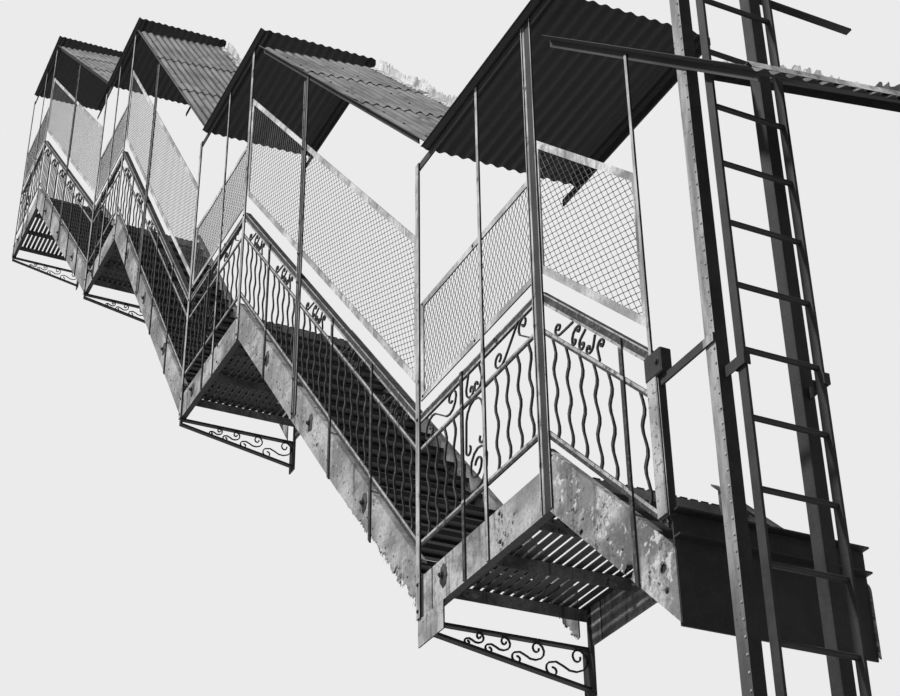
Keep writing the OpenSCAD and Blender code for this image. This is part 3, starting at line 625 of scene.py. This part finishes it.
# Roofs longer than LONG_ROOF are lapped twice, at these shares of their length.
LONG_ROOF, LAP_PLACES = 3, {"_lap": 0.34, "_upper_lap": 0.67}
LAP_COLUMNS, LAP_LENGTH, LAP_T = 108, 0.30, 0.0012
LAP_LIFT, LAP_SINK, LAP_FRAY, LAP_NOTCH = 0.0085, 0.0060, 0.012, 0.016
FLASHING_START, FLASHING_PITCH, FLASHING_T, FLASHING_LIFT = 0.090, 0.018, 0.0020, 0.0045
FLAP, STAND, STAND_BACK, STAND_FRONT = 0.075, 0.070, -0.0008, -0.0030
SCREW, SCREW_PITCH, SCREW_SINK = 0.011, 0.45, 0.0006


def crest(y):
    """0 in the valleys of the corrugation and 1 on its crests."""
    return 0.5 - 0.5 * math.cos(2 * math.pi * y / PITCH)


class RoofPlane:
    """A stretch of corrugated roof, from its lower edge at x, z up its length, with its fall to the eave."""

    def __init__(self, x, z, length, angle, fall):
        self.x, self.z, self.length, self.angle, self.fall = x, z, length, angle, fall

    def at(self, along, y, lift):
        """A point over the sheet's top, a length up from its lower edge."""
        level = WAVE * crest(y) + self.fall * (1 - y / EAVE) + SHEET_T + lift
        c, s = math.cos(self.angle), math.sin(self.angle)
        return Vector((self.x - along * c + level * s, y, self.z + along * s + level * c))

    def out(self):
        return Vector((math.sin(self.angle), 0, math.cos(self.angle)))


def roof_z(k):
    return deck(k) + ROOF_H[k - 1]


def level_roof(k):
    length = landing_length(k) + ROOF_OVER - ROOF_LAP + SHEET_LAP
    return RoofPlane(right_end(k) + ROOF_OVER, roof_z(k), length, 0.0, LEVEL_FALL)


def sloping_roof(k):
    """The roof over flight k. That over flight 0 hangs under the first level roof."""
    if k == 0:
        x = right_end(1) + SHORT_ROOF_RUN
        rise, reach, lift = SHORT_ROOF_SLOPE, SHORT_ROOF_RUN - ROOF_OVER + SHEET_LAP, 0.0
        z = roof_z(1) - SHORT_ROOF_STEP + (right_end(1) - x) * rise
    else:
        x, z = left_end(k) + ROOF_LAP, roof_z(k)
        reach = x - (right_end(k + 1) + ROOF_OVER - SHEET_LAP)
        rise = (roof_z(k + 1) - ROOF_STEP - z) / reach
        lift = SHEET_T + 2 * FIT + WAVE * (1 - math.cos(math.atan(rise)))
    angle = math.atan(rise)
    return RoofPlane(x, z + lift, reach / math.cos(angle), angle, SLOPE_FALL * math.cos(angle))


roofs = {f"roof_{k}_level": level_roof(k) for k in LANDINGS}
roofs.update({f"roof_{k}_slope": sloping_roof(k) for k in FLIGHTS})
lap_finish = roof_sheet("lap_sheet")
flashing_finish = weathered_paint("flashing_paint", 0.72, wear=-0.10)


def roof_lap(name, plane, start):
    """The rusted lower edge of an upper sheet, which laps over the sheet below it."""
    across = [EAVE - EAVE * i / LAP_COLUMNS for i in range(LAP_COLUMNS + 1)]
    edge, fray = [], 0.0
    for y in across:
        fray = 0.6 * fray + draw.uniform(-LAP_FRAY, LAP_FRAY)
        edge.append(start + fray + LAP_NOTCH * crest(y) * draw.random())
    top, below = [], []
    for share in (0.0, 0.12, 0.45, 1.0):
        lift = LAP_LIFT - LAP_SINK * share
        row = [e + (start + LAP_LENGTH - e) * share for e in edge]
        top.append([plane.at(u, y, lift) for u, y in zip(row, across)])
        below.append([plane.at(u, y, lift - LAP_T) for u, y in zip(row, across)])
    dressed(sheet_of(name, below, top), lap_finish)


def frayed(width, uneven, wave, rate, count):
    """Widths along a strip whose edge is uneven and waves."""
    return [width + (draw.uniform(-uneven, uneven) + wave * math.sin(i * rate)) for i in range(count)]


def flashing(name, plane):
    """A strip that closes the roof's back edge: a frayed flap on the sheet and a frayed upstand."""
    length = plane.length - FLASHING_START
    columns = int(length / FLASHING_PITCH)
    along = [FLASHING_START + length * i / columns for i in range(columns + 1)]
    flaps = frayed(FLAP, 0.018, 0.014, 0.23, columns + 1)
    stands = frayed(STAND, 0.016, 0.018, 0.11, columns + 1)
    top, below = [], []
    for share in (1.0, 0.75, 0.5, 0.25, 0.08):
        for rows, lift in ((top, FLASHING_LIFT), (below, FLASHING_LIFT - FLASHING_T)):
            rows.append([plane.at(u, -flap * share, lift) for u, flap in zip(along, flaps)])
    for share in (0.0, 0.5, 1.0):
        for rows, y in ((top, STAND_FRONT), (below, STAND_BACK)):
            rows.append([plane.at(u, y, FLASHING_LIFT + stand * share) for u, stand in zip(along, stands)])
    dressed(sheet_of(name, below, top), flashing_finish)


def edge_strip(plane):
    """A folded light strip that lies askew on the crests at the roof's lower edge."""
    fold = ((0.004, 0.0), (0.058, 0.020), (0.074, 0.0))
    skew, low, high = 0.10, 0.0002, 0.0018
    across = [CRESTS[i] for i in (12, 8, 4, 0)]
    sides = []
    for lift in (low, high):
        sides.append([[plane.at(along + skew * (y / across[0]) ** 2, y, lift + rise) for y in across]
                      for along, rise in fold])
    finish = weathered_paint("edge_strip_paint", 0.85, wear=-0.30)
    dressed(sheet_of("roof_0_edge_strip", *sides), finish)


screws = Solids()
for name, plane in roofs.items():
    if name != "roof_4_level":
        flashing(name + "_flashing", plane)
    if plane.length > LONG_ROOF:
        for word, share in LAP_PLACES.items():
            roof_lap(name + word, plane, plane.length * share)
    count = max(2, round(plane.length / SCREW_PITCH))
    for y in (CRESTS[-1], CRESTS[len(CRESTS) // 2], CRESTS[1]):
        for i in range(count):
            screws.bolt(plane.at(plane.length * (i + 0.5) / count, y, -SCREW_SINK), plane.out(), SCREW)
screws.make("roof_screws", dark_iron("screw_iron", 0.03), "roof_sheet")
edge_strip(roofs["roof_0_slope"])


# Fastenings, rosettes and the newel

FRAME_BOLT, GUARD_BOLT, POST_BOLT, END_PLATE_BOLT, NEWEL_BOLT = 0.012, 0.009, 0.010, 0.014, 0.017
STRINGER_RIVET, GUIDE_RIVET, GUIDE_RIVET_PITCH = 0.0075, 0.0065, 0.0675
# Heights over the deck or the walking line, and how far in from the edge of its bar a bolt or rivet sits.
FRAME_BOLT_HEIGHTS = (-0.040, 0.040 - FASCIA, HANDRAIL - 0.020)
POST_BOLT_HEIGHTS = (-0.120, 0.150, HANDRAIL - 0.025, 1.180, 2.120)
GUARD_BOLT_INSET, POST_BOLT_INSET, GUIDE_RIVET_INSET, GUIDE_RIVET_START = 0.05, 0.012, 0.010, 0.04
# Places in X and Z: from a landing's left end, from a flight's upper rivet, and from the foot of flight 0.
LANDING_ROSETTE, FLIGHT_ROSETTE, LOWER_RIVET = (0.288, -0.100), (0.06, 0.02), (0.11, -0.095)
END_PLATE_PLACE, NEWEL_BOLT_PLACE = (-0.047, -0.085), (0.050, 0.900)
# The upper rivet of a step: its share of the going, and how far it is under the walking line.
RIVET_SHARE, RIVET_DROP = 0.42, 0.115
# Heights and radii of a rosette's plate, nut and bolt end, and how far out nut and end start.
ROSETTE_PLATE = [(0, 0.042), (0.0035, 0.041), (0.0060, 0.031), (0.0090, 0.022)]
ROSETTE_NUT = [(0, 0.017), (0.013, 0.0165), (0.016, 0.013)]
ROSETTE_END = [(0, 0.009), (0.008, 0.0085)]
NUT_START, END_START, ROSETTE_TALL = 0.009, 0.023, 1.5
# Corners of the newel's shaft and head: X and Z from the foot of flight 0.
SHAFT = ((-0.047, -1.025, 0.212), (0.025, -0.973, 0.846))
HEAD = ((-0.050, -1.028, 0.842), (0.078, -0.970, 0.962))

bolts, rosettes, rivets, guide_rivets, newel = Solids(), Solids(), Solids(), Solids(), Solids()


def rosette(x, z):
    """A rusted oval anchor plate with its nut, on the outer face of a plate."""
    at = Vector((x, RAIL_FACE, z))
    rosettes.turned(at, OUT, ROSETTE_PLATE, 26, 0.14, ROSETTE_TALL)
    rosettes.turned(at + Vector(OUT) * NUT_START, OUT, ROSETTE_NUT, 6)
    rosettes.turned(at + Vector(OUT) * END_START, OUT, ROSETTE_END, 8, 0.10)


def landing_fastenings(k):
    left, right, floor = left_end(k), right_end(k), deck(k)
    rosette(left + LANDING_ROSETTE[0], floor + LANDING_ROSETTE[1])
    for x in [left, right - ORNAMENT_POST] + ([right] if k > 1 else []):
        for height in FRAME_BOLT_HEIGHTS:
            bolts.bolt((x, OUTER_FACE, floor + height), OUT, FRAME_BOLT)
    low, high = GUARD["landing"]
    for x in (right - GUARD_BOLT_INSET, left + GUARD_BOLT_INSET, (right + left) / 2):
        for z in (floor + low + GUARD_BAR / 2, floor + high - GUARD_BAR / 2):
            bolts.bolt((x, RAIL_FACE, z), OUT, GUARD_BOLT)


def flight_fastenings(j):
    """Two rivets at each step and rosettes at every fifth, and bolts down the post of a long flight."""
    x, z = foot(j)
    going = run(j) / STEPS[j]
    for i in range(1, STEPS[j]):
        along = (i + RIVET_SHARE) * going
        level = z + along * slope(j) - RIVET_DROP
        if j and i % 5 == 4:
            rosette(x - along + FLIGHT_ROSETTE[0], level + FLIGHT_ROSETTE[1])
        for aside, over in ((0.0, 0.0), LOWER_RIVET):
            rivets.rivet((x - along + aside, RAIL_FACE, level + over), OUT, STRINGER_RIVET)
    if j:
        post = mid_post(j)
        for height in POST_BOLT_HEIGHTS:
            level = z + (x - post) * slope(j) + height
            bolts.bolt((post - MID_HALF + POST_BOLT_INSET, OUTER_FACE, level), OUT, POST_BOLT)


def guide_fastenings():
    level = GUIDE_SPAN[0] + GUIDE_RIVET_START
    while level < GUIDE_SPAN[1]:
        guide_rivets.rivet((GUIDE_X - GUIDE_RIVET_INSET, BACK_FACE + FIT, level), OUT, GUIDE_RIVET)
        level += GUIDE_RIVET_PITCH


def newel_block(x, z):
    for ((x0, y0, z0), (x1, y1, z1)), bevel in ((SHAFT, 0.004), (HEAD, 0.005)):
        newel.box((x + x0, y0, z + z0), (x + x1, y1, z + z1), bevel)
    newel.bolt((x + NEWEL_BOLT_PLACE[0], HEAD[0][1], z + NEWEL_BOLT_PLACE[1]), OUT, NEWEL_BOLT)


foot_x, foot_z = foot(0)
for k in LANDINGS:
    landing_fastenings(k)
for j in FLIGHTS:
    flight_fastenings(j)
bolts.bolt((foot_x + END_PLATE_PLACE[0], RAIL_FACE, foot_z + END_PLATE_PLACE[1]), OUT, END_PLATE_BOLT)
guide_fastenings()
newel_block(foot_x, foot_z)
newel_finish = newel_iron("newel_paint", foot_z + HEAD[0][2], foot_z + SHAFT[1][2])
guide_rivets.make("guide_post_rivets", weathered_paint("rivet_paint", 0.5), "dark_iron")
newel.make("newel_block", newel_finish, "dark_iron")
bolts.make("post_bolts", dark_iron("bolt_iron", 0.03), "dark_iron")
rosettes.make("anchor_rosettes", dark_iron("rosette_iron", 0.022), "dark_iron")
rivets.make("stringer_rivets", weathered_paint("plate_rivet_paint", 0.34), "weathered_paint")


# Finishes on the part's own nodes

# Gaps at a landing frame's left end, from and to along X, painted near black as shade.
SPLICE_SEAM_SHADES = [(0.012, 0.050), (0.147, 0.160)]
STRINGER_HOLES = [(2.018, -0.434, 0.034), (1.66, -0.10, 0.012), (2.27, -0.52, 0.020)]
PLATE_TONE, EATEN_REACH = 0.46, 1.3


def walking_line(group, number):
    """The line that the heights of a landing or a flight are measured from: x, z and rise."""
    if group == "landing":
        return (right_end(number), deck(number), 0.0)
    return (*foot(number), slope(number))


def plate_finish(name, group, number):
    """Paint for a landing's frame or a flight's stringers. The lowest two flights are the most rusted."""
    if group == "landing":
        shaded_seams = [(left_end(number) + start, left_end(number) + end) for start, end in SPLICE_SEAM_SHADES]
        return weathered_paint(name, PLATE_TONE, shaded_seams=shaded_seams)
    if number == 0:
        return weathered_paint(name, PLATE_TONE, wear=0.05, rust=0.8, holes=STRINGER_HOLES)
    eaten = (walking_line(group, number), STRINGER_LOW, EATEN_REACH) if number == 1 else None
    return weathered_paint(name, PLATE_TONE, eaten=eaten)


def node_finish(name):
    group, number = (name + "_").split("_")[:2]
    if name.endswith("mesh_frame"):
        return weathered_paint(name, 0.68, wear=-0.07)
    if name.endswith(("_frame", "_stringers")):
        return plate_finish(name, group, int(number))
    if name.endswith("railing"):
        return railing_iron(name, walking_line(group, int(number)))
    if group == "roof":
        return roof_sheet(name)
    own = {"posts": post_iron, "ladder_guides": guide_iron, "landing_1_bracket": apron_iron}
    return own.get(name, dark_iron)(name)


for name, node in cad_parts.items():
    node.data.materials.clear()
    node.data.materials.append(node_finish(name))


# Floor, lights and camera

def stage_floor():
    """A pale floor for the camera that sends little light back up under the stair."""
    f = Finish("floor_plaster")
    tone = f.mix(f.step(f.noise(0.6, 5), 0.3, 0.7), grey(0.74), grey(0.80))
    f.plug(f.shader.inputs["Base Color"], f.mix(f.seen_by("Camera", "Glossy"), grey(0.08), tone))
    f.plug(f.shader.inputs["Roughness"], 0.9)
    middle, half, z = -6.0, 60.0, -4.9
    corners = [(middle + half * u, half * v, z) for u, v in ((-1, -1), (1, -1), (1, 1), (-1, 1))]
    floor = new_mesh("floor", corners, [(0, 1, 2, 3)])
    floor.data.materials.append(f.material)


def studio():
    """Soft light from all round, and a plain pale backdrop for the camera."""
    world = bpy.data.worlds.new("studio")
    bpy.context.scene.world = world
    world.use_nodes = True
    nodes = Nodes(world.node_tree)
    soft = world.node_tree.nodes["Background"]
    nodes.plug(soft.inputs["Color"], (0.92, 0.95, 1.0, 1))
    nodes.plug(soft.inputs["Strength"], 0.22)
    pale = nodes.node("Background", {}, {"Color": (0.83, 0.83, 0.835, 1)})
    shares = {0: nodes.seen_by("Camera", "Transmission"), 1: Value(nodes, soft.outputs[0]), 2: pale}
    surface = world.node_tree.nodes["World Output"].inputs["Surface"]
    nodes.plug(surface, nodes.node("MixShader", {}, shares))


def sun(name, direction, energy, spread):
    lamp = bpy.data.lights.new(name, "SUN")
    lamp.energy, lamp.angle = energy, math.radians(spread)
    made = bpy.data.objects.new(name, lamp)
    made.rotation_mode = "QUATERNION"
    made.rotation_quaternion = Vector(direction).to_track_quat("-Z", "Y")
    bpy.context.scene.collection.objects.link(made)


def photo_camera():
    """The camera as it was fitted to the photograph."""
    camera = bpy.data.objects.new("camera", bpy.data.cameras.new("camera"))
    camera.data.lens, camera.data.sensor_width = 68.87, 36.0
    camera.data.clip_start, camera.data.clip_end = 0.1, 200
    right = Vector((0.4361367, 0.89980244, -0.01184662))
    down = Vector((-0.47360122, 0.21832207, -0.85325105))
    ahead = Vector((-0.765171, 0.37774467, 0.5213658))
    turn = Matrix((right, -down, -ahead)).transposed().to_4x4()
    place = Matrix.Translation((7.5075, -4.515, -3.3075))
    camera.matrix_world = place @ turn
    bpy.context.scene.collection.objects.link(camera)
    bpy.context.scene.camera = camera


stage_floor()
studio()
sun("key_light", (0.16, 0.72, -0.78), 3.5, 5)
sun("fill_light", (-0.5, 0.6, -0.2), 0.30, 40)
photo_camera()
bpy.context.scene.view_settings.view_transform = "Standard"
